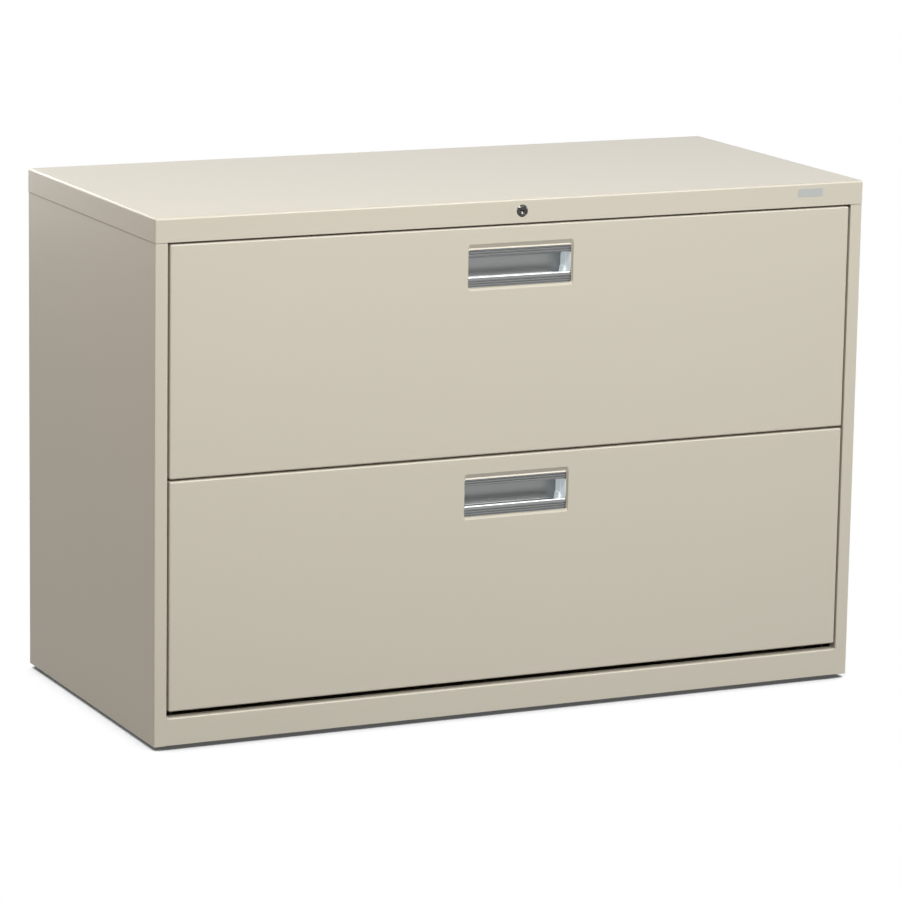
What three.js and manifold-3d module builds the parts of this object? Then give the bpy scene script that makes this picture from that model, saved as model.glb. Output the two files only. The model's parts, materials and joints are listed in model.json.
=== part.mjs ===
// Two-drawer lateral filing cabinet in folded steel sheet.
// Millimetres, +Z up, floor at z = 0, drawers open towards -Y.
import * as THREE from 'three';
import { mergeVertices } from 'three/addons/utils/BufferGeometryUtils.js';
import Module from 'manifold-3d';

const wasm = await Module();
wasm.setup();

// Case
const caseWidth = 1066.8;
const caseHeight = 720.7;
const caseDepth = 487.5;
const lockProud = 1.5;
const sheet = 1;
const edgeRadius = 2.5;
const floorGap = 6;
const capFlange = 33;
const capOverhang = 0.8;
const capFrontOverhang = 0.6;
const capSeam = 0.4;
const fitGap = 0.3;
const tongueRise = 22;
const tongueLap = 8;
const stileWidth = 18.2;
const stileLip = 17;
const rearReturn = 20;
const backLap = 16;
const stileRadius = 1.5;

// Base
const baseRailHeight = 38.2;
const baseBackFlange = 20;
const baseFoot = 14;
const panHeight = 16;
const panFlange = 16;

// Drawer fronts
const drawerCount = 2;
const capGap = 3;
const drawerGap = 3;
const sideGap = 3;
const baseGap = 8.5;
const frontRadius = 2;
const linerClear = 1;
const linerFlange = 12;

// Drawer boxes
const slideRoom = 19.3;
const boxHeight = 230;
const boxLift = 14;
const lockRoom = 37.8;
const sideHem = 8;
const sideHemDrop = 6;
const sideFoot = 14;
const backFoot = 12;
const hangrailWidth = 8;
const hangrailHeight = 16;
const hangrailDrop = 3;
const hangrailInset = 10;

// Pull
const pullWidth = 159;
const pullHeight = 63.5;
const pullFromTop = 23;
const pullLipDepth = 3.5;
const pullTopSlope = 7.7;
const pullBottomSlope = 3.8;
const pullSideSlope = 1.8;
const pullWall = 2;
const pullFlangeLap = 2.5;
const pullBand = 9.9;
const pullDepth = 36;
const pullThroat = 27;
const pullCeilingFall = 4;
const pullGripDrop = 6;
const pullGripReach = 9.5;
const pullCornerRadius = 6;
const ribCount = 3;
const ribPitch = 3.4;
const ribWide = 1.3;
const ribDeep = 0.8;
const ribFromEdge = 2.2;

// Slides
const slideInset = 1;
const slideHeight = 46;
const slideWall = 1.4;
const slideRise = 90;
const ballGap = 3;
const slideWebGap = 2;
const slideFlangeShort = 3;
const innerFlange = 10;
const cageLength = 196;
const cageFromRear = 103;
const cageWall = 0.8;
const ballClearance = 0.1;
const ballsPerRow = 3;
const ballRowEnd = 20;

// Posts
const postDepth = 32;
const rearPostSetback = 6;

// Lock
const lockDrop = 16.5;
const lockBezelLip = 1.2;
const lockBezelDeep = 2;
const barrelWall = 1.5;
const lockLength = 27;
const plugDiameter = 11.6;
const plugRecess = 0.6;
const keywayWide = 7;
const keywayTall = 1.6;
const keywayDeep = 5;
const shaftDiameter = 6;
const crankRadius = 11;
const crankThick = 4;
const crankWidth = 9;
const pinDiameter = 4;
const pinPast = 2;
const slotPlay = 0.6;
const crankGap = 3.5;
const bracketWidth = 36;
const bracketThick = 2;
const bracketFlange = 18;
const bracketDrop = 10;
const bracketFromCrank = 22;
const headerDepth = 20;
const headerRise = 2;
const headerHeight = 26;
const headerLip = 5;

// Lock bar
const barWidth = 18;
const barThick = 2.5;
const barTopPast = 3;
const barBelowHook = 70;
const hookWide = 8;
const hookThick = 3;
const hookArm = 4;
const hookReach = 15;
const hookClear = 2;
const catchWide = 60;
const catchReach = 11;
const catchLip = 16;
const barFromCatch = 6;
const guideFoot = 12;
const guideTopDrop = 50;
const guideRise = 24;
const guideClipTall = 14;
const guideClipWall = 2.5;
const guideClipBelow = 25;

// Counterweight
const weightWidth = 860;
const weightDepth = 70;
const weightHeight = 18;
const weightFromBack = 4;

// Glides
const glideDiameter = 28;
const glideStem = 8;
const glideStemRise = 38;
const glideInsetX = 43;
const glideInsetY = 52;
const glideNut = 15;
const glideNutTall = 7;

// Faceting
const arcSteps = 3;
const roundSides = 24;
const nutCorners = 6;
const weld = 1e-4;
const cutPast = 1;

// Levels and faces that several pieces share
const halfWidth = caseWidth / 2;
const rearY = (caseDepth + lockProud) / 2;
const capFrontY = rearY - caseDepth;
const lockFaceY = capFrontY - lockProud;
const sideOuterX = halfWidth - capOverhang;
const sideInnerX = sideOuterX - sheet;
const stileY = capFrontY + capFrontOverhang;
const rearFaceY = rearY - capFrontOverhang;
const openingX = sideOuterX - stileWidth;
const capBottom = caseHeight - capFlange;
const capUnder = caseHeight - sheet;
const baseTop = floorGap + baseRailHeight;
const panTop = floorGap + panHeight + sheet;
const lowerFrontBottom = baseTop + baseGap;
const frontRoom = capBottom - capGap - lowerFrontBottom;
const frontHeight = (frontRoom - (drawerCount - 1) * drawerGap) / drawerCount;
const frontDepth = pullDepth + pullWall + linerClear + sheet;
const upperFrontBottom = lowerFrontBottom + frontHeight + drawerGap;
const frontX = openingX - sideGap;
const boxX = openingX - slideRoom;
const boxFrontY = stileY + frontDepth;
const tongueInset = sheet + fitGap - capOverhang;
const backFaceY = rearFaceY - tongueInset - sheet;
const backInnerY = backFaceY - sheet;
const boxRearY = backInnerY - lockRoom;
const slideFrontY = boxFrontY + slideInset;
const slideRearY = boxRearY - slideInset;
const lockZ = caseHeight - lockDrop;
const lockBarrel = plugDiameter + 2 * barrelWall;
const lockBezel = lockBarrel + 2 * lockBezelLip;
const plugFrontY = lockFaceY + plugRecess;
const plugRearY = lockFaceY + lockLength;
const catchRearY = boxRearY + catchReach;
const barFrontY = catchRearY + barFromCatch;
const barRearY = barFrontY + barThick;
const crankRearY = barFrontY - crankGap;
const crankReachLow = crankRadius * Math.SQRT1_2;
const barX = -(crankRadius + crankReachLow) / 2;
const pinRestZ = lockZ - crankReachLow;
const guideFaceY = barRearY + fitGap;

function middle(span) {
  return (span[0] + span[1]) / 2;
}

function lengthOf(span) {
  return span[1] - span[0];
}

function solidFrom(geometry) {
  geometry.deleteAttribute('normal');
  geometry.deleteAttribute('uv');
  const welded = mergeVertices(geometry, weld);
  const vertProperties = new Float32Array(welded.attributes.position.array);
  const triVerts = new Uint32Array(welded.index.array);
  return new wasm.Manifold(new wasm.Mesh({ numProp: 3, vertProperties, triVerts }));
}

function blockShape(across, deep, high) {
  const geometry = new THREE.BoxGeometry(lengthOf(across), lengthOf(deep), lengthOf(high));
  return geometry.translate(middle(across), middle(deep), middle(high));
}

function block(across, deep, high) {
  return solidFrom(blockShape(across, deep, high));
}

function rodShape(diameter, x, z, deep) {
  const geometry = new THREE.CylinderGeometry(diameter / 2, diameter / 2, lengthOf(deep), roundSides);
  return geometry.translate(x, middle(deep), z);
}

function rod(diameter, x, z, deep) {
  return solidFrom(rodShape(diameter, x, z, deep));
}

function upright(diameter, x, y, high, corners = roundSides) {
  const geometry = new THREE.CylinderGeometry(diameter / 2, diameter / 2, lengthOf(high), corners);
  geometry.rotateX(Math.PI / 2);
  geometry.translate(x, y, middle(high));
  return solidFrom(geometry);
}

function extruded(outline, depth) {
  const shape = new THREE.Shape(outline.map(([a, b]) => new THREE.Vector2(a, b)));
  return new THREE.ExtrudeGeometry(shape, { depth, bevelEnabled: false });
}

// Outline of [y, z] points swept along X.
function sweepAcross(outline, across) {
  const geometry = extruded(outline, lengthOf(across));
  const turn = new THREE.Matrix4().makeBasis(
    new THREE.Vector3(0, 1, 0),
    new THREE.Vector3(0, 0, 1),
    new THREE.Vector3(1, 0, 0),
  );
  geometry.applyMatrix4(turn);
  geometry.translate(across[0], 0, 0);
  return solidFrom(geometry);
}

// Outline of [x, z] points swept along Y.
function sweepDeep(outline, deep) {
  const geometry = extruded(outline, lengthOf(deep));
  geometry.rotateX(Math.PI / 2);
  geometry.translate(0, deep[1], 0);
  return solidFrom(geometry);
}

// Outline of [x, y] points swept along Z.
function sweepUp(outline, high) {
  const geometry = extruded(outline, lengthOf(high));
  geometry.translate(0, 0, high[0]);
  return solidFrom(geometry);
}

// Unit vector along each straight of a path.
function directions(path) {
  const steps = path.slice(1).map((point, i) => [point[0] - path[i][0], point[1] - path[i][1]]);
  return steps.map(([a, b]) => [a / Math.hypot(a, b), b / Math.hypot(a, b)]);
}

// Replaces the corners of an open path by arcs.
function roundedPath(path, radius) {
  const ways = directions(path);
  const points = [path[0]];
  for (let i = 1; i < path.length - 1; i += 1) {
    const [inA, inB] = ways[i - 1];
    const [outA, outB] = ways[i];
    const turn = Math.atan2(inA * outB - inB * outA, inA * outA + inB * outB);
    const back = radius * Math.tan(Math.abs(turn) / 2);
    const side = Math.sign(turn);
    const start = [path[i][0] - inA * back, path[i][1] - inB * back];
    const centre = [start[0] - inB * radius * side, start[1] + inA * radius * side];
    for (let step = 0; step <= arcSteps; step += 1) {
      const angle = (turn * step) / arcSteps;
      const fromA = start[0] - centre[0];
      const fromB = start[1] - centre[1];
      points.push([
        centre[0] + fromA * Math.cos(angle) - fromB * Math.sin(angle),
        centre[1] + fromA * Math.sin(angle) + fromB * Math.cos(angle),
      ]);
    }
  }
  points.push(path[path.length - 1]);
  return points;
}

// Closed outline of a sheet whose outer face follows the path and whose body lies to its left.
function sheetOutline(path, thick) {
  const ways = directions(path);
  const inner = path.map((point, i) => {
    const before = ways[Math.max(i - 1, 0)];
    const after = ways[Math.min(i, ways.length - 1)];
    const cosine = before[0] * after[0] + before[1] * after[1];
    const mitre = thick / (1 + cosine);
    return [point[0] - (before[1] + after[1]) * mitre, point[1] + (before[0] + after[0]) * mitre];
  });
  return [...path, ...inner.reverse()];
}

// Rectangle with its two corners on the high side of b rounded.
function crowned(a, b, radius) {
  const open = [[a[0], b[0]], [a[1], b[0]], [a[1], b[1]], [a[0], b[1]], [a[0], b[0]]];
  const crown = roundedPath(open.slice(1), radius);
  return [open[0], ...crown.slice(0, -1)];
}

function joined(solids) {
  return solids.reduce((whole, solid) => whole.add(solid));
}

// Pieces are drawn on the left; the right one is the same piece seen in a mirror.
function reflected(solid, side) {
  if (side < 0) {
    return solid;
  }
  const drawn = solid.getMesh();
  const vertProperties = drawn.vertProperties.map((value, i) => (i % 3 === 0 ? -value : value));
  const triVerts = drawn.triVerts.slice().reverse();
  return new wasm.Manifold(new wasm.Mesh({ numProp: 3, vertProperties, triVerts }));
}

// Case pieces

function topCap() {
  const across = [-halfWidth, halfWidth];
  const deep = [capFrontY, rearY];
  const high = [capBottom, caseHeight];
  const body = sweepDeep(crowned(across, high, edgeRadius), deep)
    .intersect(sweepAcross(crowned(deep, high, edgeRadius), across));
  const hollow = block(
    [-halfWidth + sheet, halfWidth - sheet],
    [capFrontY + sheet, rearY - sheet],
    [capBottom - cutPast, capUnder],
  );
  const holeDeep = [capFrontY - cutPast, capFrontY + sheet + cutPast];
  const lockHole = rod(lockBarrel + fitGap, 0, lockZ, holeDeep);
  return body.subtract(hollow).subtract(lockHole);
}

function sideSheet(inset, high) {
  const outerX = -sideOuterX + inset;
  const frontY = stileY + inset;
  const rear = rearFaceY - inset;
  const path = [
    [-sideOuterX + rearReturn, rear],
    [outerX, rear],
    [outerX, frontY],
    [-openingX, frontY],
    [-openingX, stileY + stileLip],
  ];
  return sweepUp(sheetOutline(roundedPath(path, stileRadius), sheet), high);
}

function sidePanel(side) {
  const main = sideSheet(0, [floorGap, capBottom - capSeam]);
  const tongue = sideSheet(tongueInset, [capBottom - tongueLap, capBottom + tongueRise]);
  return reflected(main.add(tongue), side);
}

function backPanel() {
  const halfBack = sideOuterX - rearReturn + backLap;
  return block([-halfBack, halfBack], [backInnerY, backFaceY], [floorGap, capBottom + tongueRise]);
}

function glidePlaces() {
  const x = halfWidth - glideInsetX;
  const y = caseDepth / 2 - glideInsetY;
  return [[-x, -y], [x, -y], [-x, y], [x, y]];
}

function bottomPan() {
  const frontY = stileY + stileLip + fitGap;
  const halfPan = sideInnerX - fitGap;
  const path = [
    [frontY, panTop + panFlange],
    [frontY, panTop - sheet],
    [backInnerY - fitGap, panTop - sheet],
    [backInnerY - fitGap, panTop + panFlange],
  ];
  let pan = sweepAcross(sheetOutline(path, sheet), [-halfPan, halfPan]);
  for (const [x, y] of glidePlaces()) {
    const nut = upright(glideNut, x, y, [panTop - sheet, panTop + glideNutTall], nutCorners);
    const bore = upright(glideStem + fitGap, x, y, [floorGap, panTop + glideNutTall + cutPast]);
    pan = pan.add(nut).subtract(bore);
  }
  return pan;
}

function baseRail() {
  const backY = stileY + stileLip;
  const path = [
    [backY, baseTop - baseBackFlange],
    [backY, baseTop],
    [stileY, baseTop],
    [stileY, floorGap],
    [stileY + baseFoot, floorGap],
  ];
  return sweepAcross(sheetOutline(roundedPath(path, stileRadius), sheet), [-openingX, openingX]);
}

function headerRail() {
  const frontY = capFrontY + sheet + fitGap;
  const bottom = capBottom + headerRise;
  const path = [
    [frontY, bottom + headerHeight],
    [frontY, bottom],
    [frontY + headerDepth, bottom],
    [frontY + headerDepth, bottom + headerLip],
  ];
  const rail = sweepAcross(sheetOutline(path, sheet), [-openingX, openingX]);
  const hole = rod(lockBarrel + fitGap, 0, lockZ, [frontY - cutPast, frontY + headerDepth + cutPast]);
  return rail.subtract(hole);
}

function post(side, deep) {
  const wallX = -sideInnerX + tongueInset;
  const path = [
    [wallX, deep[1]],
    [-openingX, deep[1]],
    [-openingX, deep[0]],
    [wallX, deep[0]],
  ];
  return reflected(sweepUp(sheetOutline(path.reverse(), sheet), [panTop, capBottom]), side);
}

function frontPost(side) {
  return post(side, [slideFrontY, slideFrontY + postDepth]);
}

function rearPost(side) {
  return post(side, [slideRearY - rearPostSetback - postDepth, slideRearY - rearPostSetback]);
}

function counterweight() {
  const rear = backInnerY - sheet - weightFromBack;
  return block(
    [-weightWidth / 2, weightWidth / 2],
    [rear - weightDepth, rear],
    [panTop, panTop + weightHeight],
  );
}

function glide([x, y]) {
  const disc = upright(glideDiameter, x, y, [0, floorGap]);
  const stem = upright(glideStem, x, y, [floorGap / 2, floorGap + glideStemRise]);
  return disc.add(stem);
}

// Lock pieces

function lockHousing() {
  const bezel = rod(lockBezel, 0, lockZ, [lockFaceY, capFrontY]);
  const barrel = rod(lockBarrel, 0, lockZ, [lockFaceY, plugRearY - lockBezelDeep]);
  const bore = rod(plugDiameter + fitGap, 0, lockZ, [lockFaceY - cutPast, plugRearY + cutPast]);
  return bezel.add(barrel).subtract(bore);
}

function lockPlug() {
  const plug = rod(plugDiameter, 0, lockZ, [plugFrontY, plugRearY]);
  const keyway = block(
    [-keywayWide / 2, keywayWide / 2],
    [plugFrontY - cutPast, plugFrontY + keywayDeep],
    [lockZ - keywayTall / 2, lockZ + keywayTall / 2],
  );
  return plug.subtract(keyway);
}

// The crank is drawn on the Y axis pointing out to +X, then turned to its rest angle and lifted.
// At rest it points down and to the left; a quarter turn clockwise brings it up.
function lockShaft() {
  const shaft = rod(shaftDiameter, 0, lockZ, [plugRearY, crankRearY]);
  const thick = [crankRearY - crankThick, crankRearY];
  const shapes = [
    blockShape([0, crankRadius], thick, [-crankWidth / 2, crankWidth / 2]),
    rodShape(crankWidth, crankRadius, 0, thick),
    rodShape(pinDiameter, crankRadius, 0, [thick[0], barRearY + pinPast]),
  ];
  const crank = shapes.map((shape) => solidFrom(shape.rotateY(0.75 * Math.PI).translate(0, 0, lockZ)));
  return joined([shaft, ...crank]);
}

function shaftBracket() {
  const face = crankRearY - bracketFromCrank;
  const across = [-bracketWidth / 2, bracketWidth / 2];
  const plate = block(across, [face, face + bracketThick], [lockZ - bracketDrop, capUnder]);
  const flange = block(across, [face, face + bracketFlange], [capUnder - bracketThick, capUnder]);
  const boreDeep = [face - cutPast, face + bracketThick + cutPast];
  const bore = rod(shaftDiameter + fitGap, 0, lockZ, boreDeep);
  return plate.add(flange).subtract(bore);
}

function backTop(frontBottom) {
  return frontBottom + boxLift + boxHeight - sideHemDrop - sheet;
}

function catchLipBottom(frontBottom) {
  return backTop(frontBottom) - sheet - catchLip;
}

function hookTip(frontBottom) {
  return catchLipBottom(frontBottom) - hookClear;
}

function hookBottom(frontBottom) {
  return hookTip(frontBottom) - hookReach - hookArm;
}

function lockBar() {
  const across = [barX - barWidth / 2, barX + barWidth / 2];
  const top = pinRestZ + pinDiameter + barTopPast;
  const bottom = hookBottom(lowerFrontBottom) - barBelowHook;
  let bar = block(across, [barFrontY, barRearY], [bottom, top]);
  for (const frontBottom of [lowerFrontBottom, upperFrontBottom]) {
    const tip = hookTip(frontBottom);
    const armBottom = hookBottom(frontBottom);
    const fingerY = [boxRearY + catchReach / 2 - hookThick, boxRearY + catchReach / 2];
    const hookAcross = [barX - hookWide / 2, barX + hookWide / 2];
    const arm = block(
      hookAcross,
      [fingerY[0], barRearY],
      [armBottom, armBottom + hookArm],
    );
    const finger = block(hookAcross, fingerY, [armBottom, tip]);
    bar = joined([bar, arm, finger]);
  }
  const slot = block(
    [-crankRadius - pinDiameter / 2 - fitGap, -crankReachLow + pinDiameter / 2 + fitGap],
    [barFrontY - cutPast, barRearY + cutPast],
    [pinRestZ - pinDiameter / 2 - slotPlay, pinRestZ + pinDiameter / 2 + slotPlay],
  );
  return bar.subtract(slot);
}

function lockBarChannel() {
  const half = barWidth / 2 + fitGap + guideClipWall;
  const high = [panTop + guideRise, capBottom - guideTopDrop];
  const path = [
    [barX - half - guideFoot, backInnerY],
    [barX - half, backInnerY],
    [barX - half, guideFaceY],
    [barX + half, guideFaceY],
    [barX + half, backInnerY],
    [barX + half + guideFoot, backInnerY],
  ];
  const lifted = path.map(([x, y], i) => (i < 2 || i > 3 ? [x, y - sheet] : [x, y]));
  let channel = sweepUp(sheetOutline(lifted, sheet), high);
  for (const frontBottom of [lowerFrontBottom, upperFrontBottom]) {
    const clipTop = hookBottom(frontBottom) - guideClipBelow;
    const tall = [clipTop - guideClipTall, clipTop];
    const frontY = barFrontY - fitGap;
    const strap = block([barX - half, barX + half], [frontY - guideClipWall, frontY], tall);
    const cheekDeep = [frontY - guideClipWall, guideFaceY + sheet];
    const leftCheek = block([barX - half, barX - half + guideClipWall], cheekDeep, tall);
    const rightCheek = block([barX + half - guideClipWall, barX + half], cheekDeep, tall);
    channel = joined([channel, strap, leftCheek, rightCheek]);
  }
  return channel;
}

// Drawer pieces

function pullMiddle(frontBottom) {
  return frontBottom + frontHeight - pullFromTop - pullHeight / 2;
}

function frontPanel(frontBottom) {
  const across = [-frontX, frontX];
  const high = [frontBottom, frontBottom + frontHeight];
  const deep = [-boxFrontY, -stileY];
  const fromAbove = crowned(across, deep, frontRadius).map(([x, y]) => [x, -y]).reverse();
  const fromSide = crowned(high, deep, frontRadius).map(([z, y]) => [-y, z]);
  const body = sweepUp(fromAbove, high).intersect(sweepAcross(fromSide, across));
  const hollow = block(
    [-frontX + sheet, frontX - sheet],
    [stileY + sheet, boxFrontY + cutPast],
    [high[0] + sheet, high[1] - sheet],
  );
  const lips = pullFunnel(frontBottom, [sheet / 2, pullLipDepth], sheet);
  const mouth = pullFunnel(frontBottom, [-cutPast, pullLipDepth + cutPast], 0);
  return body.subtract(hollow).add(lips).subtract(mouth);
}

// The mouth round the pull narrows as it goes in; deep counts from the drawer's face.
function pullFunnel(frontBottom, deep, thick) {
  const centre = pullMiddle(frontBottom);
  const wallRun = (slope) => thick * Math.hypot(pullLipDepth, slope) / pullLipDepth;
  const halfTall = pullHeight / 2;
  const halfWide = pullWidth / 2;
  const [near, far] = deep.map((depth) => {
    const along = depth / pullLipDepth;
    return {
      y: stileY + depth,
      x: halfWide + wallRun(pullSideSlope) - along * pullSideSlope,
      low: centre - halfTall - wallRun(pullBottomSlope) + along * pullBottomSlope,
      high: centre + halfTall + wallRun(pullTopSlope) - along * pullTopSlope,
    };
  });
  const fromSide = [[near.y, near.low], [far.y, far.low], [far.y, far.high], [near.y, near.high]];
  const fromAbove = [[-near.x, near.y], [near.x, near.y], [far.x, far.y], [-far.x, far.y]];
  const across = [-pullWidth, pullWidth];
  const high = [centre - pullHeight, centre + pullHeight];
  return sweepAcross(fromSide, across).intersect(sweepUp(fromAbove, high));
}

function frontLiner(frontBottom) {
  const inset = sheet + fitGap;
  const across = [-frontX + inset, frontX - inset];
  const high = [frontBottom + inset, frontBottom + frontHeight - inset];
  const pan = block(across, [boxFrontY - sheet - linerFlange, boxFrontY], high);
  const hollow = block(
    [across[0] + sheet, across[1] - sheet],
    [boxFrontY - sheet - linerFlange - cutPast, boxFrontY - sheet],
    [high[0] + sheet, high[1] - sheet],
  );
  return pan.subtract(hollow);
}

function drawerSide(frontBottom, side) {
  const bottom = frontBottom + boxLift - sheet;
  const top = frontBottom + boxLift + boxHeight;
  const path = [
    [-boxX + sideHem, top - sideHemDrop],
    [-boxX + sideHem, top],
    [-boxX, top],
    [-boxX, bottom],
    [-boxX + sideFoot, bottom],
  ];
  return reflected(sweepDeep(sheetOutline(path, sheet), [boxFrontY, boxRearY]), side);
}

function drawerBottom(frontBottom) {
  const halfBottom = boxX - sheet;
  const floor = frontBottom + boxLift;
  return block([-halfBottom, halfBottom], [boxFrontY, boxRearY - sheet], [floor, floor + sheet]);
}

function drawerBack(frontBottom) {
  const halfBack = boxX - sheet;
  const floor = frontBottom + boxLift + sheet;
  const high = [frontBottom + boxLift, backTop(frontBottom)];
  const web = block([-halfBack, halfBack], [boxRearY - sheet, boxRearY], high);
  const halfFoot = halfBack - sideFoot;
  const foot = block([-halfFoot, halfFoot], [boxRearY - backFoot, boxRearY], [floor, floor + sheet]);
  const lipBottom = catchLipBottom(frontBottom);
  const lipTop = lipBottom + catchLip;
  const catchAcross = [barX - catchWide / 2, barX + catchWide / 2];
  const flange = block(catchAcross, [boxRearY - sheet, catchRearY], [lipTop, lipTop + sheet]);
  const lip = block(catchAcross, [catchRearY - sheet, catchRearY], [lipBottom, lipTop + sheet]);
  return joined([web, foot, flange, lip]);
}

function hangrail(frontBottom, middleY) {
  const half = boxX - sideHem;
  const top = frontBottom + boxLift + boxHeight - hangrailDrop;
  const path = [
    [middleY + hangrailWidth / 2, top - hangrailHeight],
    [middleY + hangrailWidth / 2, top],
    [middleY - hangrailWidth / 2, top],
    [middleY - hangrailWidth / 2, top - hangrailHeight],
  ];
  return sweepAcross(sheetOutline(path, sheet), [-half, half]);
}

function pullBandTop(frontBottom) {
  return pullMiddle(frontBottom) + pullHeight / 2 - pullTopSlope;
}

function pullBandFoot(frontBottom) {
  return pullMiddle(frontBottom) - pullHeight / 2 + pullBottomSlope;
}

// Seen from the side: a band, a hollow behind it, then a grip with a band below.
function pullPath(frontBottom) {
  const faceY = stileY + pullLipDepth;
  const backY = stileY + pullDepth;
  const bandBottom = pullBandTop(frontBottom) - pullBand;
  const gripTop = bandBottom - pullThroat;
  const floorZ = gripTop - pullGripDrop;
  const hollow = [
    [faceY, bandBottom],
    [backY, bandBottom - pullCeilingFall],
    [backY, floorZ],
    [stileY + pullGripReach, floorZ],
    [faceY, gripTop],
  ];
  return [
    [faceY, pullBandTop(frontBottom) + pullFlangeLap],
    ...roundedPath(hollow, pullCornerRadius),
    [faceY, pullBandFoot(frontBottom) - pullFlangeLap],
  ];
}

function pull(frontBottom) {
  const half = pullWidth / 2 - pullSideSlope;
  const outline = sheetOutline(pullPath(frontBottom), pullWall);
  const trough = sweepAcross(outline, [-half - pullWall, half + pullWall]);
  const bandTop = pullBandTop(frontBottom);
  const bandFoot = pullBandFoot(frontBottom);
  const faceY = stileY + pullLipDepth;
  const end = block(
    [-half - pullWall, -half],
    [faceY, stileY + pullDepth + pullWall],
    [bandFoot - pullFlangeLap, bandTop + pullFlangeLap],
  );
  let body = joined([trough, end, reflected(end, 1)]);
  const upperGroove = bandTop - pullBand + ribFromEdge;
  const lowerGroove = bandTop - pullBand - pullThroat - ribFromEdge - ribWide;
  for (let i = 0; i < ribCount; i += 1) {
    for (const groove of [upperGroove + i * ribPitch, lowerGroove - i * ribPitch]) {
      const deep = [faceY - cutPast, faceY + ribDeep];
      body = body.subtract(block([-half, half], deep, [groove, groove + ribWide]));
    }
  }
  return body;
}

// Slide pieces

function slideMiddle(frontBottom) {
  return frontBottom + slideRise;
}

function trackOutline(webX, tipX, tall, centre) {
  const half = tall / 2;
  const path = [
    [tipX, centre + half],
    [webX, centre + half],
    [webX, centre - half],
    [tipX, centre - half],
  ];
  return webX < tipX ? path : path.reverse();
}

function slideDeep() {
  return [slideFrontY, slideRearY];
}

function intermediateHeight() {
  return slideHeight - 2 * (slideWall + ballGap);
}

function innerHeight() {
  return intermediateHeight() - 2 * (slideWall + ballGap);
}

function intermediateWebX() {
  return -openingX + slideWall + slideWebGap;
}

function slideOuter(frontBottom, side) {
  const tipX = -boxX - slideFlangeShort - slideWall;
  const path = trackOutline(-openingX, tipX, slideHeight, slideMiddle(frontBottom));
  return reflected(sweepDeep(sheetOutline(path, slideWall), slideDeep()), side);
}

function slideIntermediate(frontBottom, side) {
  const tipX = -boxX - slideFlangeShort;
  const path = trackOutline(intermediateWebX(), tipX, intermediateHeight(), slideMiddle(frontBottom));
  return reflected(sweepDeep(sheetOutline(path, slideWall), slideDeep()), side);
}

function slideInner(frontBottom, side) {
  const tipX = -boxX - innerFlange;
  const path = trackOutline(-boxX, tipX, innerHeight(), slideMiddle(frontBottom));
  return reflected(sweepDeep(sheetOutline(path, slideWall), slideDeep()), side);
}

// Ball retainer: a U strip between two tracks with a row of balls above and below.
function ballCage(frontBottom, webMiddleX, tipX, gapMiddle, side) {
  const centre = slideMiddle(frontBottom);
  const rear = slideRearY - cageFromRear;
  const deep = [rear - cageLength, rear];
  const webX = webMiddleX - cageWall / 2;
  const tall = 2 * gapMiddle + cageWall;
  const strip = sweepDeep(sheetOutline(trackOutline(webX, tipX, tall, centre), cageWall), deep);
  const ballX = (webX + tipX) / 2;
  const ballRadius = ballGap / 2 - ballClearance;
  const pitch = (cageLength - 2 * ballRowEnd) / (ballsPerRow - 1);
  const balls = [];
  for (let i = 0; i < ballsPerRow; i += 1) {
    for (const row of [-1, 1]) {
      const ball = new THREE.IcosahedronGeometry(ballRadius, 0);
      ball.translate(ballX, deep[0] + ballRowEnd + i * pitch, centre + row * gapMiddle);
      balls.push(solidFrom(ball));
    }
  }
  return reflected(joined([strip, ...balls]), side);
}

function outerCage(frontBottom, side) {
  const webMiddle = intermediateWebX() - slideWebGap / 2;
  const tipX = -boxX - slideFlangeShort - 2 * slideWall;
  return ballCage(frontBottom, webMiddle, tipX, intermediateHeight() / 2 + ballGap / 2, side);
}

function innerCage(frontBottom, side) {
  const webMiddle = (intermediateWebX() + slideWall - boxX - innerFlange) / 2;
  const tipX = -boxX - slideFlangeShort - slideWall;
  return ballCage(frontBottom, webMiddle, tipX, innerHeight() / 2 + ballGap / 2, side);
}

// Materials

const finishes = {
  paint: { color: 0xccc6b8, roughness: 0.5, metalness: 0 },
  zinc: { color: 0xb4b6b4, roughness: 0.38, metalness: 0.9 },
  aluminium: { color: 0xa9abaa, roughness: 0.35, metalness: 0.9 },
  chrome: { color: 0x8d8c88, roughness: 0.18, metalness: 1 },
  brightSteel: { color: 0xc4c4c0, roughness: 0.3, metalness: 1 },
  iron: { color: 0x3c3b39, roughness: 0.8, metalness: 0.2 },
  foot: { color: 0x2b2a29, roughness: 0.6, metalness: 0 },
  cage: { color: 0xc9a24a, roughness: 0.35, metalness: 0.9 },
};

function part(name, solid, finish) {
  const cut = solid.getMesh();
  const geometry = new THREE.BufferGeometry();
  geometry.setAttribute('position', new THREE.BufferAttribute(cut.vertProperties, 3));
  geometry.setIndex(new THREE.BufferAttribute(cut.triVerts, 1));
  geometry.computeVertexNormals();
  const mesh = new THREE.Mesh(geometry, new THREE.MeshStandardMaterial(finishes[finish]));
  mesh.name = name;
  return mesh;
}

function group(name, pieces) {
  const holder = new THREE.Group();
  holder.name = name;
  holder.add(...pieces);
  return holder;
}

const sides = [['left', -1], ['right', 1]];
const levels = [['upper', upperFrontBottom], ['lower', lowerFrontBottom]];

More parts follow.
